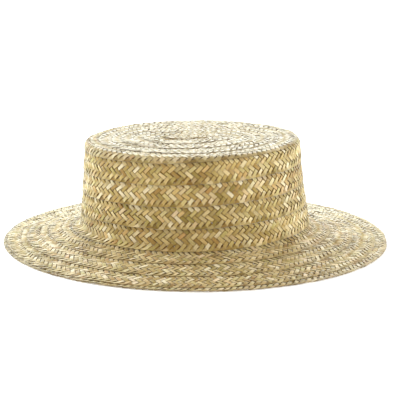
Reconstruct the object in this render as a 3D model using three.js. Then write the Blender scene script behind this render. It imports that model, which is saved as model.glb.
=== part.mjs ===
// A plain straw boater. The real hat is one long flat plait of straw, laid in a
// clockwise spiral from the middle of the tip, over the edge, down the side and out
// over the brim, and sewn to itself where one turn overlaps the next. Each turn of the
// spiral is a solid of its own here, a thin helical band that closes up at the back.
// Millimetres, +Z up. The long way of the head lies along X, the front faces -Y, and
// the hat rests on the rim of its brim at z = 0.

import * as THREE from "three";
import { mergeVertices } from "three/addons/utils/BufferGeometryUtils.js";

// The hat's outline over the outer face of the straw, as half widths across the head
const HAT_HEIGHT = 90.3;
const TIP_HALF_WIDTH = 80.8;
const CROWN_BASE_HALF_WIDTH = 88.0;
const CROWN_BASE_HEIGHT = 14.5;
const BRIM_HALF_WIDTH = 154.9;

// The head is longer than it is wide, by this much at each end
const OVAL_STRETCH = 12.0;

// The rolled tip edge, the soft bend where the side meets the brim, and the brim itself,
// which leaves the side at a slope, flattens a little and ends in a level foot along the
// rim. The slope leaves room for the three layers that lie over each other at the back.
const TIP_EDGE_RADIUS = 5.0;
const BRIM_BEND_RADIUS = 6.0;
const BRIM_START_SLOPE = THREE.MathUtils.degToRad(13.5);
const FOOT_WIDTH = 5.0;

// The crown of the hat leans a little to the left and its tip rises a little to the right
const CROWN_LEAN = -3.2;
const TIP_TILT = 0.022;

// The plait, its thickness, and the gap left between one turn and the next
const PLAIT_WIDTH = 22.0;
const PLAIT_THICKNESS = 1.2;
const PLAIT_GAP = 0.3;
const LAYER = PLAIT_THICKNESS + PLAIT_GAP;

// How far the outer edge of the plait has come along the outline after so many turns.
// A turn starts at the back of the hat and runs clockwise as seen from above.
const EDGE_ROUTE = [
  { turn: 1.0, outline: 15.3 },
  { turn: 4.5, outline: 83.1 },
  { turn: 8.5, outline: 157.1 },
  { turn: 11.5, outline: 217.0 },
];
const PLATE_TURN = 1;
const RIM_TURN = 12;
const RIM_SETTLE_TURNS = 0.1;

// Facets round one turn of the spiral and in each bend of the outline
const STEPS_PER_TURN = 48;
const TIP_EDGE_FACETS = 4;
const BRIM_BEND_FACETS = 3;
const BRIM_FACETS = 3;
const MERGE_DISTANCE = 1e-4;

// The outline is walked from the middle of the tip to the rim. A step either runs
// straight or turns down (or back up) round an arc of the given radius.
function walkOutline(steps) {
  const corners = [new THREE.Vector2(0, HAT_HEIGHT)];
  let slope = 0;
  for (const { run, radius, turn, facets } of steps) {
    const last = corners[corners.length - 1];
    if (run !== undefined) {
      corners.push(new THREE.Vector2(last.x + run * Math.cos(slope), last.y - run * Math.sin(slope)));
      continue;
    }
    const side = Math.sign(turn);
    const centreX = last.x - side * radius * Math.sin(slope);
    const centreY = last.y - side * radius * Math.cos(slope);
    for (let i = 1; i <= facets; i++) {
      const facing = slope + (turn * i) / facets;
      const x = centreX + side * radius * Math.sin(facing);
      const y = centreY + side * radius * Math.cos(facing);
      corners.push(new THREE.Vector2(x, y));
    }
    slope += turn;
  }
  return corners;
}

// Straight runs and the brim's long arc follow from the driving sizes
function hatOutline() {
  const sideDrop = HAT_HEIGHT - CROWN_BASE_HEIGHT;
  const sideSpread = CROWN_BASE_HALF_WIDTH - TIP_HALF_WIDTH;
  const sideSlope = Math.atan2(sideDrop, sideSpread);
  const tipEdgeCut = TIP_EDGE_RADIUS * Math.tan(sideSlope / 2);
  const brimBendTurn = sideSlope - BRIM_START_SLOPE;
  const brimBendCut = BRIM_BEND_RADIUS * Math.tan(brimBendTurn / 2);
  const footHeight = 2 * PLAIT_THICKNESS + PLAIT_GAP;

  const brimStartX = CROWN_BASE_HALF_WIDTH + brimBendCut * Math.cos(BRIM_START_SLOPE);
  const brimStartY = CROWN_BASE_HEIGHT - brimBendCut * Math.sin(BRIM_START_SLOPE);
  const brimSpread = BRIM_HALF_WIDTH - FOOT_WIDTH - brimStartX;
  const brimDrop = brimStartY - footHeight;
  const brimEndSlope = 2 * Math.atan2(brimDrop, brimSpread) - BRIM_START_SLOPE;
  const brimRadius = brimSpread / (Math.sin(BRIM_START_SLOPE) - Math.sin(brimEndSlope));

  const corners = walkOutline([
    { run: TIP_HALF_WIDTH - tipEdgeCut },
    { radius: TIP_EDGE_RADIUS, turn: sideSlope, facets: TIP_EDGE_FACETS },
    { run: Math.hypot(sideDrop, sideSpread) - tipEdgeCut - brimBendCut },
    { radius: BRIM_BEND_RADIUS, turn: -brimBendTurn, facets: BRIM_BEND_FACETS },
    { radius: brimRadius, turn: brimEndSlope - BRIM_START_SLOPE, facets: BRIM_FACETS },
  ]);
  corners.push(new THREE.Vector2(BRIM_HALF_WIDTH, footHeight));
  return corners;
}

const CORNERS = hatOutline();

// Distance along the outline to each corner, and the way straight out of the hat there,
// stretched so that faces at the same depth stay parallel round the corner
const CORNER_AT = [0];
for (let i = 1; i < CORNERS.length; i++) {
  CORNER_AT.push(CORNER_AT[i - 1] + CORNERS[i].distanceTo(CORNERS[i - 1]));
}
const OUTLINE_END = CORNER_AT[CORNER_AT.length - 1];
const FOOT_AT = OUTLINE_END - FOOT_WIDTH;

function faceNormal(from, to) {
  return new THREE.Vector2(from.y - to.y, to.x - from.x).normalize();
}

const CORNER_NORMALS = CORNERS.map((corner, i) => {
  const before = i > 0 ? faceNormal(CORNERS[i - 1], corner) : null;
  const after = i < CORNERS.length - 1 ? faceNormal(corner, CORNERS[i + 1]) : null;
  if (!before || !after) {
    return before || after;
  }
  return before.clone().add(after).divideScalar(1 + before.dot(after));
});

// The point at a distance along the outline, a depth below (or height above) the outer
// face, and a turn of the spiral
function hatPoint(along, rise, turn) {
  let i = 1;
  while (i < CORNERS.length - 1 && along > CORNER_AT[i]) {
    i += 1;
  }
  const share = (along - CORNER_AT[i - 1]) / (CORNER_AT[i] - CORNER_AT[i - 1]);
  const face = CORNERS[i - 1].clone().lerp(CORNERS[i], share);
  const normal = CORNER_NORMALS[i - 1].clone().lerp(CORNER_NORMALS[i], share);
  const radius = face.x + normal.x * rise;
  const z = face.y + normal.y * rise;

  const angle = Math.PI / 2 - turn * 2 * Math.PI;
  const up = Math.max(0, (z - CROWN_BASE_HEIGHT) / (HAT_HEIGHT - CROWN_BASE_HEIGHT));
  const x = (radius + OVAL_STRETCH) * Math.cos(angle);
  return new THREE.Vector3(x + CROWN_LEAN * up, radius * Math.sin(angle), z + TIP_TILT * x * up);
}

// Where the plait's outer edge is after so many turns. Past the end of the route it
// closes on the rim and then follows it.
function edgeAt(turn) {
  const route = [...EDGE_ROUTE, { turn: RIM_TURN, outline: OUTLINE_END }];
  if (turn >= RIM_TURN) {
    return OUTLINE_END;
  }
  let i = 1;
  while (i < route.length - 1 && turn > route[i].turn) {
    i += 1;
  }
  const share = (turn - route[i - 1].turn) / (route[i].turn - route[i - 1].turn);
  return THREE.MathUtils.lerp(route[i - 1].outline, route[i].outline, share);
}

// How deep the upper face of the plait lies. Its outer edge is level with the hat's
// outer face, and it slants inward to pass one layer under the turn before it. Along
// the rim it lies level, and the last turn settles one layer down to run under the rim.
function depthAt(along, turn) {
  const edgeBefore = edgeAt(turn - 1);
  if (along < edgeBefore && turn > PLATE_TURN + 1) {
    return depthAt(along, turn - 1) - LAYER;
  }
  const levelFrom = Math.min(edgeAt(turn), FOOT_AT);
  const share = levelFrom > edgeBefore ? (levelFrom - along) / (levelFrom - edgeBefore) : 0;
  const slanted = -LAYER * THREE.MathUtils.clamp(share, 0, 1);
  const settled = THREE.MathUtils.smoothstep(turn, RIM_TURN, RIM_TURN + RIM_SETTLE_TURNS);
  return THREE.MathUtils.lerp(slanted, -LAYER, settled);
}

// Merges the corners that neighbouring faces share and drops faces that shrank to a line
function closedSolid(points, faces) {
  const raw = new THREE.BufferGeometry();
  raw.setAttribute("position", new THREE.Float32BufferAttribute(points.flatMap((p) => [p.x, p.y, p.z]), 3));
  raw.setIndex(faces.flat());
  const merged = mergeVertices(raw, MERGE_DISTANCE);
  const index = merged.index.array;
  const kept = [];
  for (let i = 0; i < index.length; i += 3) {
    const [a, b, c] = [index[i], index[i + 1], index[i + 2]];
    if (a !== b && b !== c && c !== a) {
      kept.push(a, b, c);
    }
  }
  merged.setIndex(kept);
  merged.computeVertexNormals();
  return merged;
}

// One turn of the plait as a band. Its section has a column at each edge, at every
// outline corner that the turn crosses, and where it bends under the turn before it.
function plaitTurn(turn) {
  const innermost = edgeAt(turn) - PLAIT_WIDTH;
  const outermost = edgeAt(turn + 1);
  const corners = CORNER_AT.filter((at) => at > innermost && at < outermost);
  const points = [];
  let sectionSize = 0;
  for (let step = 0; step <= STEPS_PER_TURN; step++) {
    const endCut = PLAIT_GAP / 2 / (2 * Math.PI * Math.min(outermost - PLAIT_WIDTH, TIP_HALF_WIDTH));
    const inset = step === 0 ? endCut : step === STEPS_PER_TURN ? -endCut : 0;
    const at = turn + step / STEPS_PER_TURN + inset;
    const outer = edgeAt(at);
    const inner = outer - PLAIT_WIDTH;
    const columns = corners.map((corner) => THREE.MathUtils.clamp(corner, inner, outer));
    if (turn >= RIM_TURN - 1) {
      const bends = [edgeAt(at - 1), edgeAt(at - 2)];
      columns.push(...bends.map((bend) => THREE.MathUtils.clamp(Math.min(bend, FOOT_AT), inner, outer)));
    }
    columns.push(inner, outer);
    columns.sort((a, b) => a - b);
    const upper = columns.map((along) => hatPoint(along, depthAt(along, at), at));
    const lower = columns.map((along) => hatPoint(along, depthAt(along, at) - PLAIT_THICKNESS, at));
    points.push(...upper, ...lower.reverse());
    sectionSize = 2 * columns.length;
  }

  const faces = [];
  for (let step = 0; step < STEPS_PER_TURN; step++) {
    for (let i = 0; i < sectionSize; i++) {
      const next = (i + 1) % sectionSize;
      const here = step * sectionSize;
      const there = here + sectionSize;
      faces.push([here + i, there + next, here + next], [here + i, there + i, there + next]);
    }
  }
  const lastSection = STEPS_PER_TURN * sectionSize;
  for (let i = 0; i < sectionSize / 2 - 1; i++) {
    const opposite = sectionSize - 1 - i;
    faces.push([i, opposite - 1, opposite], [i, i + 1, opposite - 1]);
    const [a, b] = [lastSection + i, lastSection + opposite];
    faces.push([a, b, b - 1], [a, b - 1, a + 1]);
  }
  return closedSolid(points, faces);
}

// The first coils in the middle of the tip lie flat and are filled right to the centre,
// so they make one oval plate with a step where the next turn starts
function tipCentre() {
  const stepFoot = edgeAt(PLATE_TURN);
  const lastCut = PLAIT_GAP / 2 / (2 * Math.PI * stepFoot);
  const rim = [];
  for (let step = 0; step <= STEPS_PER_TURN; step++) {
    const at = PLATE_TURN + step / STEPS_PER_TURN - (step === STEPS_PER_TURN ? lastCut : 0);
    rim.push(hatPoint(edgeAt(at), 0, at));
  }
  rim.push(hatPoint(stepFoot, 0, PLATE_TURN + 1 - lastCut));
  const shape = new THREE.Shape(rim.map((p) => new THREE.Vector2(p.x, p.y)));
  const plate = new THREE.ExtrudeGeometry(shape, { depth: PLAIT_THICKNESS, bevelEnabled: false });
  plate.deleteAttribute("normal");
  plate.deleteAttribute("uv");
  const merged = mergeVertices(plate, MERGE_DISTANCE);
  const position = merged.attributes.position;
  for (let i = 0; i < position.count; i++) {
    const lift = TIP_TILT * (position.getX(i) - CROWN_LEAN);
    position.setZ(i, position.getZ(i) + HAT_HEIGHT - PLAIT_THICKNESS + lift);
  }
  merged.computeVertexNormals();
  return merged;
}

// Pale straw on the tip and brim, and the warmer straw of the side
const TIP_STRAW = 0xd9cda6;
const SIDE_STRAW = 0xc6ad72;
const BRIM_STRAW = 0xcdbd8c;

function strawMesh(name, geometry, color) {
  const material = new THREE.MeshStandardMaterial({ color, roughness: 0.6, metalness: 0 });
  const mesh = new THREE.Mesh(geometry, material);
  mesh.name = name;
  return mesh;
}

// The turns of the spiral in order, from the middle of the tip to the rim
const SPIRAL_PARTS = [
  { name: "tip_row", firstTurn: 2, rows: 3, firstNumber: 2, color: TIP_STRAW },
  { name: "side_row", firstTurn: 5, rows: 4, firstNumber: 1, color: SIDE_STRAW },
  { name: "brim_row", firstTurn: 9, rows: 4, firstNumber: 1, color: BRIM_STRAW },
];

const hat = new THREE.Group();
hat.name = "boater_hat";
hat.add(strawMesh("tip_row_1", tipCentre(), TIP_STRAW));
for (const { name, firstTurn, rows, firstNumber, color } of SPIRAL_PARTS) {
  for (let row = 0; row < rows; row++) {
    hat.add(strawMesh(`${name}_${firstNumber + row}`, plaitTurn(firstTurn + row), color));
  }
}

export default hat;
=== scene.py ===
import math

import bpy
import numpy as np
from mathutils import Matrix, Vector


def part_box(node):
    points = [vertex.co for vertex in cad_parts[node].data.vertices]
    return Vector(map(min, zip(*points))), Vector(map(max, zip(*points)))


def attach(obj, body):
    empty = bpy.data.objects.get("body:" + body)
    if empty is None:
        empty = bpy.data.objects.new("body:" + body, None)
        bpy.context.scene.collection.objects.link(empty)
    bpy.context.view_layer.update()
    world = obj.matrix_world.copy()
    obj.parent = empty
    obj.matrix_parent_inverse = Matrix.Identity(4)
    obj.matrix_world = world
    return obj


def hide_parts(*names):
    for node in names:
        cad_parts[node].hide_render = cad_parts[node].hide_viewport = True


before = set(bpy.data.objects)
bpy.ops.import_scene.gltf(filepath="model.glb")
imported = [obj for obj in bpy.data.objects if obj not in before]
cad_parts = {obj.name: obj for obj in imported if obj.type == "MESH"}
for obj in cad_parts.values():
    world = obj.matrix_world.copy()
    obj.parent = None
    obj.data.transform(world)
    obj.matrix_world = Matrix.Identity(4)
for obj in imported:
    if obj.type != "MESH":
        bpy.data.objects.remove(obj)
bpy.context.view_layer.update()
bpy.ops.object.select_all(action="DESELECT")

# The face of the hat: the tip, its rolled edge, the side, the soft bend at the foot of the
# crown and the brim, which flattens to a level foot along the rim. It is pressed over a
# block, so it is one smooth outline, carried round an oval that is longer than it is wide.
rim_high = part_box("brim_row_4")[1]
BRIM_HALF_WIDTH = rim_high[1]
OVAL_STRETCH = rim_high[0] - rim_high[1]
HAT_HEIGHT = 0.0903
TIP_HALF_WIDTH = 0.0808
CROWN_BASE_HALF_WIDTH = 0.0880
CROWN_BASE_HEIGHT = 0.0145
TIP_EDGE_RADIUS = 0.005
BRIM_BEND_RADIUS = 0.006
BRIM_START_SLOPE = math.radians(13.5)
FOOT_WIDTH = 0.005
CROWN_LEAN = -0.0032
TIP_TILT = 0.022
PLAIT_THICKNESS = 0.00112
LAYER = 0.0006


def outline_legs():
    """Legs of the outline: where each starts, its radius, height, slope and bend per metre."""
    side_drop = HAT_HEIGHT - CROWN_BASE_HEIGHT
    side_spread = CROWN_BASE_HALF_WIDTH - TIP_HALF_WIDTH
    side_slope = math.atan2(side_drop, side_spread)
    edge_cut = TIP_EDGE_RADIUS * math.tan(side_slope / 2)
    bend_turn = side_slope - BRIM_START_SLOPE
    bend_cut = BRIM_BEND_RADIUS * math.tan(bend_turn / 2)
    brim_start_radius = CROWN_BASE_HALF_WIDTH + bend_cut * math.cos(BRIM_START_SLOPE)
    brim_start_height = CROWN_BASE_HEIGHT - bend_cut * math.sin(BRIM_START_SLOPE)
    brim_spread = BRIM_HALF_WIDTH - FOOT_WIDTH - brim_start_radius
    foot_height = LAYER + PLAIT_THICKNESS
    brim_drop = brim_start_height - foot_height
    brim_end_slope = 2 * math.atan2(brim_drop, brim_spread) - BRIM_START_SLOPE
    brim_radius = brim_spread / (math.sin(BRIM_START_SLOPE) - math.sin(brim_end_slope))
    brim_turn = BRIM_START_SLOPE - brim_end_slope
    steps = (
        (TIP_HALF_WIDTH - edge_cut, 0.0),
        (TIP_EDGE_RADIUS * side_slope, 1 / TIP_EDGE_RADIUS),
        (math.hypot(side_drop, side_spread) - edge_cut - bend_cut, 0.0),
        (BRIM_BEND_RADIUS * bend_turn, -1 / BRIM_BEND_RADIUS),
        (brim_radius * brim_turn, -1 / brim_radius),
    )
    legs = []
    start, radius, height, slope = 0.0, 0.0, HAT_HEIGHT, 0.0
    for length, bend in steps:
        legs.append((start, radius, height, slope, bend))
        end_slope = slope + bend * length
        if bend:
            radius += (math.sin(end_slope) - math.sin(slope)) / bend
            height += (math.cos(end_slope) - math.cos(slope)) / bend
        else:
            radius += length * math.cos(slope)
            height -= length * math.sin(slope)
        slope = end_slope
        start += length
    legs.append((start, BRIM_HALF_WIDTH - FOOT_WIDTH, foot_height, 0.0, 0.0))
    return np.array(legs), start + FOOT_WIDTH


LEGS, FACE_END = outline_legs()
FOOT_AT = FACE_END - FOOT_WIDTH
BRIM_AT = LEGS[-2, 0]


def hat_points(along, rise, turn):
    """Points at distances along the outline, heights above the face and turns of the spiral."""
    leg = np.clip(np.searchsorted(LEGS[:, 0], along, side="right") - 1, 0, len(LEGS) - 1)
    start, radius, height, slope, bend = np.moveaxis(LEGS[leg], -1, 0)
    run = along - start
    here = slope + bend * run
    safe_bend = np.where(bend == 0, 1.0, bend)
    arc_radius = radius + (np.sin(here) - np.sin(slope)) / safe_bend
    arc_height = height + (np.cos(here) - np.cos(slope)) / safe_bend
    radius = np.where(bend == 0, radius + run * np.cos(slope), arc_radius) + rise * np.sin(here)
    height = np.where(bend == 0, height - run * np.sin(slope), arc_height) + rise * np.cos(here)
    angle = math.pi / 2 - turn * 2 * math.pi
    up = np.maximum(0, (height - CROWN_BASE_HEIGHT) / (HAT_HEIGHT - CROWN_BASE_HEIGHT))
    x = (radius + OVAL_STRETCH) * np.cos(angle)
    return np.stack([x + CROWN_LEAN * up, radius * np.sin(angle), height + TIP_TILT * x * up], -1)


# The route of the plait: a spiral that starts in the middle of the tip and runs clockwise.
# Each turn's outer edge lies on the turn after it, and the last turn runs along the rim
# underneath, so the rim is double there.
ROUTE_TURNS = (0.0, 1.0, 4.5, 8.5, 11.5, 12.0)
ROUTE_EDGES = (-0.0042, 0.0153, 0.0831, 0.1571, 0.2170, FACE_END)
ROUTE_SPOTS = 20001
START_TURN = 0.27
RIM_TURN = 12.0
LAST_TURN = 13.0
SETTLE_TURNS = 0.1
WIDTH_TURNS = (1.0, 4.5, 5.2, 8.3, 9.0)
PLAIT_WIDTHS = (0.0218, 0.0218, 0.0213, 0.0213, 0.0225)


def edge_at(turn):
    """How far out the plait's outer edge is after so many turns."""
    return np.interp(turn, ROUTE_TURNS, ROUTE_EDGES)


def ease(share):
    """A share from 0 to 1 that starts and ends softly."""
    return share * share * (3 - 2 * share)


def depth_at(along, turn, layers=2):
    """How deep the plait lies: level at its outer edge, one layer down at the turn before."""
    edge_before = edge_at(turn - 1)
    level_from = np.minimum(edge_at(turn), FOOT_AT)
    reach = level_from - edge_before
    share = np.where(reach > 0, (level_from - along) / np.where(reach > 0, reach, 1), 0)
    settle = ease(np.clip((turn - RIM_TURN) / SETTLE_TURNS, 0, 1))
    open_depth = -LAYER * ((1 - settle) * np.clip(share, 0, 1) + settle)
    if layers == 0:
        return open_depth
    return np.where(along < edge_before, depth_at(along, turn - 1, layers - 1) - LAYER, open_depth)


route_turns = np.linspace(START_TURN, LAST_TURN, ROUTE_SPOTS)
route_widths = np.interp(route_turns, WIDTH_TURNS, PLAIT_WIDTHS)
route_inner = np.maximum(edge_at(route_turns) - route_widths, 0)
route_middle = (edge_at(route_turns) + route_inner) / 2
route_points = hat_points(route_middle, np.zeros_like(route_turns), route_turns)
route_lengths = np.linalg.norm(np.diff(route_points, axis=0), axis=1)
route_run = np.concatenate([[0], np.cumsum(route_lengths)])

# The plait itself: nine flat split straws, each slanting over two and under two of the
# others. At the edge of the plait a straw turns, runs a little way along it and slants back.
# Every straw is a ribbon, laid out flat in short sections and then carried onto the hat.
STRAWS = 9
SECTIONS_PER_PITCH = 4
CYCLE = SECTIONS_PER_PITCH * STRAWS
HALF_CYCLE = CYCLE // 2
STRAW_PITCH = 0.00515
STRAW_FILL = 0.91
UNDER_SPREAD = 0.2
STRAW_THICKNESS = 0.00044
WEAVE_LIFT = 0.00038
FOLD_INSET = 0.00030
SPOTS_ALONG = (
    (0, 1.6, 2.5, 3.3, 4.7, 5.3, 6.4, 7.6, 8.7, 9.3)
    + (10.4, 11.6, 12.7, 13.3, 14.5, 15.1, 15.7, 16.5, 18)
)
SPOTS_OUT = (
    (0.80, 0.95, 1.7, 3.1, 4.7, 5.3, 6.4, 7.6, 8.7, 9.3)
    + (10.4, 11.6, 12.7, 13.3, 14.6, 15.8, 16.6, 17.05, 17.2)
)
EDGE_TURNS = (0, 0.3, 0.8, 1, 1, 1, 1, 1, 1, 1, 1, 1, 1, 1, 1, 1, 0.8, 0.3, 0)
EDGE_WIDTHS = (0.68, 0.95, 1.2, 1.1, 1, 1, 1, 1, 1, 1, 1, 1, 1, 1, 1, 1.1, 1.2, 0.95, 0.68)
WEAVE_LEVELS = (
    (0.2, -0.1, -0.8, -1, -1, 1, 1, 1, 1, -1, -1, -1, -1, 1, 1, 1, 0.9, 0.5)
    + (0.2, -0.1, -0.8, -1, -1, -1, 1, 1, 1, 1, -1, -1, -1, -1, 1, 1, 0.9, 0.5)
)

# A ribbon's section has six corners, counted from 0. Corners 0 and 3 are its thin edges, 1
# and 2 lie on its outer face, and 4 and 5 on its inner face.
RIBBON_ACROSS = (1.0, 0.8, -0.8, -1.0, -0.8, 0.8)
RIBBON_RISE = (0.0, 0.5, 0.5, 0.0, -0.5, -0.5)
FACE_CORNERS = (1, 2, 4, 5)

# Split straw is uneven, and it is plaited by hand. Each play is how far a size strays, and
# each run is the number of sections over which it changes.
STRETCH_WAVES = ((0.0012, 0.41, 0.0), (0.0016, 0.173, 2.0))
WIDTH_PLAY = 0.07
SIDE_PLAY = 0.00032
LIFT_PLAY = 0.00009
ROLL_PLAY = 0.00030
COLUMN_PLAY = 0.0009
LEAN_PLAY = 0.14
LONG_RUN = 40
COLUMN_RUN = 14
PATCH_RUN = 12
TILE_RUN = 4
SHORT_RUN = 3
CHANCE_SEED = 7

sections = int(route_run[-1] / STRAW_PITCH * SECTIONS_PER_PITCH)
beat = np.arange(sections + 1) / SECTIONS_PER_PITCH
straw_step = np.arange(sections + 1) - SECTIONS_PER_PITCH * np.arange(STRAWS)[:, None]
cycle_step = straw_step % CYCLE
steps_out = np.minimum(cycle_step, CYCLE - cycle_step)
heading = np.where(steps_out % HALF_CYCLE == 0, 0, np.sign(HALF_CYCLE - cycle_step))
off_beat = heading * (np.array(SPOTS_ALONG)[steps_out] - steps_out) / SECTIONS_PER_PITCH
stretch_play = sum(size * np.sin(beat * rate + shift) for size, rate, shift in STRETCH_WAVES)
run_along = (beat + off_beat) * STRAW_PITCH + stretch_play
section_turn = np.interp(run_along, route_run, route_turns)
section_width = np.interp(section_turn, WIDTH_TURNS, PLAIT_WIDTHS)
straw_angle = np.arctan2(2 * section_width, STRAWS * STRAW_PITCH)
half_straw = 0.5 * STRAW_FILL * STRAW_PITCH * np.sin(straw_angle)

chance = np.random.default_rng(CHANCE_SEED)


def wander(shape, spacing):
    """Smooth random values between about -1 and 1 along the last axis."""
    knots = chance.uniform(-1, 1, (shape[0], shape[1] // spacing + 3))
    at = np.arange(shape[1]) / spacing
    low = at.astype(int)
    blend = ease(at - low)
    return knots[:, low] * (1 - blend) + knots[:, low + 1] * blend


all_straws = cycle_step.shape
whole_plait = (1, sections + 1)
width_play = 1 + WIDTH_PLAY * wander(all_straws, LONG_RUN)
width_play = width_play + WIDTH_PLAY * wander(all_straws, SHORT_RUN)
side_play = SIDE_PLAY * wander(all_straws, TILE_RUN)
lift_play = LIFT_PLAY * wander(all_straws, TILE_RUN)
roll_play = ROLL_PLAY * wander(all_straws, SHORT_RUN)
column_play = COLUMN_PLAY * wander(whole_plait, COLUMN_RUN)
patch_play = wander(whole_plait, PATCH_RUN)

level = np.array(WEAVE_LEVELS)[cycle_step]
under = np.maximum(-level, 0)
over = np.maximum(level, 0)
half_width = half_straw * width_play * np.array(EDGE_WIDTHS)[steps_out]
half_width = half_width * (1 + UNDER_SPREAD * under)
across = np.array(RIBBON_ACROSS) * half_width[..., None]
lean = straw_angle * heading * np.array(EDGE_TURNS)[steps_out]
lean = lean + LEAN_PLAY * wander(all_straws, SHORT_RUN)
thick = np.array(RIBBON_RISE) * STRAW_THICKNESS
inner_space = section_width - 2 * FOLD_INSET
base_v = FOLD_INSET + inner_space * np.array(SPOTS_OUT)[steps_out] / HALF_CYCLE
base_w = WEAVE_LIFT * level + lift_play
column_shift = column_play * np.sin(math.pi * steps_out / HALF_CYCLE)
point_u = run_along[..., None] - across * np.sin(lean)[..., None]
point_v = (base_v + side_play + column_shift)[..., None] + across * np.cos(lean)[..., None]
point_w = base_w[..., None] + thick
point_w = point_w + np.array(RIBBON_ACROSS) * roll_play[..., None]

# Handling leaves soft waves in the pressed straw, and at the right two larger bends, where
# the brim rises a little and the side is pushed in. The seams aren't sewn dead straight.
WAVE_HEIGHT = 0.00014
WAVES = ((1.0, 3, 40, 0.0), (0.7, 7, -95, 1.3), (0.6, 17, 150, 0.4))
WAVE_END = 0.03
BRIM_BEND = 0.0015
BRIM_BEND_TURN = 0.16
BRIM_BEND_TURNS = 0.11
SIDE_BEND = 0.0014
SIDE_BEND_TURN = 0.25
SIDE_BEND_TURNS = 0.09
SIDE_BEND_AT = 0.115
SIDE_BEND_REACH = 0.022
EDGE_WANDER = 0.0008
EDGE_WAVES_PER_TURN = 2.6
EDGE_BEAT = 9.1
EDGE_SHIFT = 0.7


def swell(along, turn):
    """How far the face stands out from the smooth outline."""
    angle = turn * 2 * math.pi
    waves = WAVE_HEIGHT * sum(
        share * np.sin(per_turn * angle + per_metre * along + shift)
        for share, per_turn, per_metre, shift in WAVES
    )
    waves = waves * np.clip((FOOT_AT - along) / WAVE_END, 0, 1)
    out = np.clip((along - BRIM_AT) / (FOOT_AT - BRIM_AT), 0, 1)
    brim_round = ((turn % 1 - BRIM_BEND_TURN) / BRIM_BEND_TURNS) ** 2
    side_round = ((turn % 1 - SIDE_BEND_TURN) / SIDE_BEND_TURNS) ** 2
    side_along = ((along - SIDE_BEND_AT) / SIDE_BEND_REACH) ** 2
    brim_bend = BRIM_BEND * out * np.exp(-brim_round)
    side_bend = SIDE_BEND * np.exp(-side_round - side_along)
    return waves + brim_bend - side_bend


point_turn = np.interp(point_u, route_run, route_turns)
edge_play = EDGE_WANDER * np.sin(point_turn * 2 * math.pi * EDGE_WAVES_PER_TURN)
edge_play = edge_play * np.sin(point_turn * EDGE_BEAT + EDGE_SHIFT)
edge_play = np.where(point_turn > RIM_TURN - 1, 0, edge_play)
point_width = np.interp(point_turn, WIDTH_TURNS, PLAIT_WIDTHS)
point_edge = edge_at(point_turn)
point_inner = np.maximum(point_edge - point_width, 0)
point_along = point_inner + (point_edge - point_inner) * point_v / point_width
point_depth = depth_at(point_along, point_turn) - PLAIT_THICKNESS / 2
point_rise = point_depth + point_w + swell(point_along, point_turn)
straw_points = hat_points(np.maximum(point_along + edge_play, 0), point_rise, point_turn)

# The colour of the straw. Each straw in the plait is a stalk of its own, a hand or two long,
# so the tone changes from stalk to stalk, and a little from one bend to the next. The tip and
# brim are painted paler, a painted sheen for the grazing light on them. A darker tone loses
# more blue than red.
STALK_TONES = (
    (0.57, 0.415, 0.16),
    (0.51, 0.34, 0.11),
    (0.46, 0.36, 0.11),
    (0.70, 0.55, 0.28),
    (0.82, 0.68, 0.43),
    (0.48, 0.275, 0.085),
    (0.38, 0.265, 0.07),
)
TONE_SHARES = (0.27, 0.22, 0.14, 0.15, 0.08, 0.07, 0.07)
STALK_SECTIONS = (90, 220)
STALK_PATTERNS = 100
TILE_SHARE = 0.5
TILE_STARTS = (2, 5, 9, 13, 16, 20, 24, 28, 32)
TILE_DEPTH = 0.28
DRIFT_DEPTH = 0.08
DRIFT_RUN = 30
PATCH_DEPTH = 0.10
FOLD_STEPS = (16, 20)
FOLD_SHADE = 0.76
TONE_DEPTHS = (1.0, 1.2, 1.9)
BRIGHTEST_TONE = (0.80, 0.67, 0.43)
SHEEN_PAINTED_TONE = (0.50, 0.405, 0.285)
SHEEN_PAINT_TURNS = (4.4, 5.0, 8.5, 9.5)
SHEEN_PAINT_SHARES = (0.45, 0.0, 0.0, 0.15)

tone_list = np.array(STALK_TONES)
tones = np.zeros(all_straws + (3,))
stalk_seed = np.zeros(all_straws)
for straw in range(STRAWS):
    section = 0
    while section <= sections:
        stalk_end = section + int(chance.integers(*STALK_SECTIONS))
        tones[straw, section:stalk_end] = tone_list[chance.choice(len(tone_list), p=TONE_SHARES)]
        stalk_seed[straw, section:stalk_end] = chance.uniform(0, STALK_PATTERNS)
        section = stalk_end
tile = len(TILE_STARTS) * (straw_step // CYCLE + 1)
tile = tile + np.searchsorted(TILE_STARTS, cycle_step, side="right")
tile_count = (STRAWS, int(tile.max()) + 1)
tile_tones = tone_list[chance.choice(len(tone_list), tile_count, p=TONE_SHARES)]
tile_tones = np.take_along_axis(tile_tones, tile[..., None], 1)
tones = tones * (1 - TILE_SHARE) + tile_tones * TILE_SHARE
# Painted sheen: the tip and brim are blended towards a paler tone that stands in for the grazing
# light on them.
painted_sheen = np.interp(section_turn, SHEEN_PAINT_TURNS, SHEEN_PAINT_SHARES)[..., None]
tones = tones * (1 - painted_sheen) + np.array(SHEEN_PAINTED_TONE) * painted_sheen
tile_play = np.take_along_axis(chance.uniform(-1, 1, tile_count), tile, 1)
tone_play_and_fold_shade = 1 + TILE_DEPTH * tile_play + DRIFT_DEPTH * wander(all_straws, DRIFT_RUN)
tone_play_and_fold_shade = tone_play_and_fold_shade + PATCH_DEPTH * patch_play
# Painted shade: the folds at the plait's edge, where each straw turns under, are darker.
in_fold = (cycle_step >= FOLD_STEPS[0]) & (cycle_step < FOLD_STEPS[1])
tone_play_and_fold_shade = tone_play_and_fold_shade * np.where(in_fold, FOLD_SHADE, 1)
tones = tones * tone_play_and_fold_shade[..., None] ** np.array(TONE_DEPTHS)
tones = np.minimum(tones, BRIGHTEST_TONE)
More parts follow.
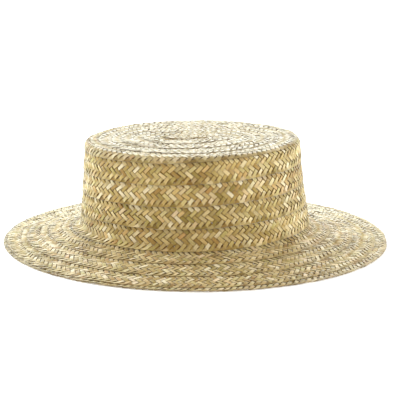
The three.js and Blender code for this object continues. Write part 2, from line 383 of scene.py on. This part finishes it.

# Painted shade: a straw's thin edges are darker, where its neighbours shade it, and so is its
# face where another straw covers it. Both are weaker where the sheen is painted in. A thin
# painted shade runs along each seam, where the edge of one turn lies on the next.
EDGE_SHADE_SHARES = (1.0, 0.0, 0.0, 1.0, 0.0, 0.0)
EDGE_PAINTED_SHADE = (0.24, 0.14, 0.01)
SHEEN_SOFTENS_SHADE = 0.8
COVERED_PAINTED_SHADE = (0.56, 0.44, 0.18)
OUTER_FACE = (1.0, 1.0, 1.0, 1.0, 0.0, 0.0)
INNER_FACE = (0.0, 0.0, 0.0, 0.0, 1.0, 1.0)
SEAM_REACH = 0.0013
SEAM_TURNS = (4.5, 5.0, 8.7, 9.0, 10.0, 10.3)
SEAM_SHADES = (0.1, 0.38, 0.38, 0.62, 0.62, 0.3)

# Painted shade on the thin edges and covered faces, weaker where the painted sheen is.
painted_shade_strength = 1 - SHEEN_SOFTENS_SHADE * painted_sheen[..., None]
edge_painted_shades = 1 - np.array(EDGE_SHADE_SHARES)[:, None] * (1 - np.array(EDGE_PAINTED_SHADE)) * painted_shade_strength
covered_painted_shade = 1 - (1 - np.array(COVERED_PAINTED_SHADE)) * painted_shade_strength
# Painted shade on each face where another straw covers it.
covered = under[..., None] * np.array(OUTER_FACE) + over[..., None] * np.array(INNER_FACE)
covered_shade = 1 - covered[..., None] * (1 - covered_painted_shade)
tones = tones[:, :, None, :] * edge_painted_shades * covered_shade
# Painted shade along each seam, on both faces of the plait.
outer_seam = edge_at(point_turn - 1)
inner_seam = edge_at(point_turn + 1) - point_width
past_seam = point_along - np.where(np.array(OUTER_FACE) > 0, outer_seam, inner_seam)
seam_shade = np.exp(-(past_seam / SEAM_REACH) ** 2)
seam_shade = seam_shade * np.interp(point_turn, SEAM_TURNS, SEAM_SHADES)
tones = tones * (1 - seam_shade[..., None])

# The straw itself has a soft waxy sheen, and fine fibres that run along each stalk.
straw_material = bpy.data.materials.new("natural_straw")
straw_material.use_nodes = True
nodes = straw_material.node_tree.nodes
links = straw_material.node_tree.links
shader = nodes["Principled BSDF"]
shader.inputs["Roughness"].default_value = 0.5
shader.inputs["IOR"].default_value = 1.35
shader.inputs["Sheen Weight"].default_value = 0.6
shader.inputs["Sheen Roughness"].default_value = 0.3
shader.inputs["Sheen Tint"].default_value = (1.0, 1.0, 0.98, 1)
tone_node = nodes.new("ShaderNodeAttribute")
tone_node.attribute_name = "straw_tone"
fibre_node = nodes.new("ShaderNodeAttribute")
fibre_node.attribute_name = "straw_fibre"
stretch = nodes.new("ShaderNodeMapping")
stretch.inputs["Scale"].default_value = (0.16, 3.2, 1.0)
links.new(fibre_node.outputs["Vector"], stretch.inputs["Vector"])
fibres = nodes.new("ShaderNodeTexNoise")
fibres.inputs["Scale"].default_value = 1.0
fibres.inputs["Detail"].default_value = 3.0
links.new(stretch.outputs["Vector"], fibres.inputs["Vector"])
fibre_shade = nodes.new("ShaderNodeMapRange")
fibre_shade.inputs["From Min"].default_value = 0.3
fibre_shade.inputs["From Max"].default_value = 0.7
fibre_shade.inputs["To Min"].default_value = 0.82
fibre_shade.inputs["To Max"].default_value = 1.12
links.new(fibres.outputs["Fac"], fibre_shade.inputs["Value"])
shaded = nodes.new("ShaderNodeVectorMath")
shaded.operation = "SCALE"
links.new(tone_node.outputs["Color"], shaded.inputs[0])
links.new(fibre_shade.outputs["Result"], shaded.inputs["Scale"])
links.new(shaded.outputs["Vector"], shader.inputs["Base Color"])
fibre_bump = nodes.new("ShaderNodeBump")
fibre_bump.inputs["Strength"].default_value = 0.35
fibre_bump.inputs["Distance"].default_value = 0.0001
links.new(fibres.outputs["Fac"], fibre_bump.inputs["Height"])
links.new(fibre_bump.outputs["Normal"], shader.inputs["Normal"])

# The tip is the flat top of the crown: the first coils, filled to the centre, two more turns
# and the one that rolls over the edge. Its rows are made as every row is, as nine closed
# ribbons in one mesh.
MILLIMETRES = 1000
section_ends = np.interp(beat * STRAW_PITCH, route_run, route_turns)
section_middles = (section_ends[1:] + section_ends[:-1]) / 2


def plait_row(node, first_turn, end_turn):
    """One turn of the plait as a mesh of its nine ribbons, standing for its node."""
    inside = np.nonzero((section_middles >= first_turn) & (section_middles < end_turn))[0]
    own = slice(inside[0], inside[-1] + 2)
    ring = len(RIBBON_ACROSS)
    points = straw_points[:, own].reshape(-1, 3)
    index = np.arange(len(points)).reshape(STRAWS, -1, ring)
    here = index[:, :-1]
    there = index[:, 1:]
    quads = np.stack([here, np.roll(here, -1, -1), np.roll(there, -1, -1), there], -1)
    faces = quads.reshape(-1, 4).tolist()
    faces += index[:, 0, ::-1].tolist()
    faces += index[:, -1, :].tolist()
    mesh = bpy.data.meshes.new(f"plaited_{node}")
    mesh.from_pydata(points.tolist(), [], faces)
    colours = np.ones(index.shape + (4,))
    colours[..., :3] = np.clip(tones[:, own], 0, 1)
    tone_values = mesh.attributes.new("straw_tone", "FLOAT_COLOR", "POINT").data
    tone_values.foreach_set("color", colours.ravel())
    fibre_run = run_along[:, own] / np.cos(straw_angle[:, own]) * MILLIMETRES
    fibre = np.zeros(index.shape + (3,))
    fibre[..., 0] = fibre_run[..., None]
    fibre[..., 1] = (across[:, own] + thick) * MILLIMETRES
    fibre[..., 2] = stalk_seed[:, own, None]
    fibre_values = mesh.attributes.new("straw_fibre", "FLOAT_VECTOR", "POINT").data
    fibre_values.foreach_set("vector", fibre.ravel())
    mesh.polygons.foreach_set("use_smooth", np.ones(len(faces), bool))
    ends = np.zeros(2 * len(mesh.edges), int)
    mesh.edges.foreach_get("vertices", ends)
    end_corners = ends.reshape(-1, 2) % ring
    lengthwise = end_corners[:, 0] == end_corners[:, 1]
    mesh.edges.foreach_set("use_edge_sharp", lengthwise & np.isin(end_corners[:, 0], FACE_CORNERS))
    mesh.materials.append(straw_material)
    piece = bpy.data.objects.new(f"plaited_{node}", mesh)
    bpy.context.scene.collection.objects.link(piece)
    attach(piece, "root")
    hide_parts(node)


plait_row("tip_row_1", START_TURN, 2)
for row in (2, 3, 4):
    plait_row(f"tip_row_{row}", row, row + 1)

# The side of the crown is the next four turns of the same plait. Its upper edge is held
# under the turn above, and the last turn bends out at the foot of the crown.
SIDE_TURN = 5
for row in (1, 2, 3, 4):
    plait_row(f"side_row_{row}", SIDE_TURN + row - 1, SIDE_TURN + row)

# The brim is the last four turns. The last one runs along the rim under the turn before it,
# which makes the rim stiff, and ends at the back.
BRIM_TURN = 9
for row in (1, 2, 3, 4):
    plait_row(f"brim_row_{row}", BRIM_TURN + row - 1, BRIM_TURN + row)

# The floor is a plain pale sheet that runs far past the picture, a hair under the rim.
FLOOR_SIZE = 40
FLOOR_HEIGHT = -0.0005
bpy.ops.mesh.primitive_plane_add(size=FLOOR_SIZE, location=(0, 0, FLOOR_HEIGHT))
floor = bpy.context.object
floor.name = "floor"
floor_material = bpy.data.materials.new("pale_floor")
floor_material.use_nodes = True
floor_shader = floor_material.node_tree.nodes["Principled BSDF"]
floor_shader.inputs["Base Color"].default_value = (0.92, 0.92, 0.92, 1)
floor_shader.inputs["Roughness"].default_value = 0.9
floor_shader.inputs["Emission Color"].default_value = (1, 1, 1, 1)
floor_shader.inputs["Emission Strength"].default_value = 0.3
floor.data.materials.append(floor_material)

# The studio is a white room with a wide soft box overhead, a lit white wall behind and a
# smaller soft box at each side. Each light has its place, the point that it faces, its size
# in metres, its power and its colour.
world = bpy.data.worlds.new("studio")
bpy.context.scene.world = world
world.use_nodes = True
world.node_tree.nodes["Background"].inputs["Color"].default_value = (1, 0.965, 0.88, 1)
world.node_tree.nodes["Background"].inputs["Strength"].default_value = 0.82
SOFT_BOXES = (
    ("soft_box_over", (-0.4, 0.2, 1.6), (0, 0, 0.05), 0.8, 3.9, (0.80, 0.93, 1.0)),
    ("lit_wall_behind", (-0.5, 2.2, 0.9), (0, 0, 0.2), 3.0, 79.0, (0.76, 0.905, 1.0)),
    ("soft_box_left", (-1.5, 0.7, 0.7), (0, 0, 0.05), 0.6, 28.0, (0.74, 0.90, 1.0)),
    ("soft_box_right", (1.7, 0.2, 0.36), (0, 0, 0.05), 0.2, 20.5, (0.80, 0.92, 1.0)),
)
for name, position, aim, size, power, colour in SOFT_BOXES:
    light = bpy.data.lights.new(name, "AREA")
    light.shape = "SQUARE"
    light.size = size
    light.energy = power
    light.color = colour
    lamp = bpy.data.objects.new(name, light)
    lamp.location = position
    direction = np.array(aim) - np.array(position)
    lamp.rotation_euler = (
        math.acos(-direction[2] / np.linalg.norm(direction)),
        0,
        math.atan2(direction[1], direction[0]) - math.pi / 2,
    )
    bpy.context.scene.collection.objects.link(lamp)

# The camera stands in front of the hat's long side, a little above it.
CAMERA_DISTANCE = 1.300
CAMERA_ELEVATION = math.radians(14.24)
CAMERA_AIM = (0.0039, 0.0, 0.0343)
CAMERA_ROLL = math.radians(-0.3)
camera_data = bpy.data.cameras.new("camera")
camera_data.sensor_width = 36
camera_data.lens = 134.3
camera = bpy.data.objects.new("camera", camera_data)
camera.location = (
    CAMERA_AIM[0],
    CAMERA_AIM[1] - CAMERA_DISTANCE * math.cos(CAMERA_ELEVATION),
    CAMERA_AIM[2] + CAMERA_DISTANCE * math.sin(CAMERA_ELEVATION),
)
camera.rotation_euler = (
    math.pi / 2 - CAMERA_ELEVATION,
    CAMERA_ROLL * math.cos(CAMERA_ELEVATION),
    -CAMERA_ROLL * math.sin(CAMERA_ELEVATION),
)
bpy.context.scene.collection.objects.link(camera)
bpy.context.scene.camera = camera
bpy.context.scene.view_settings.view_transform = "Standard"
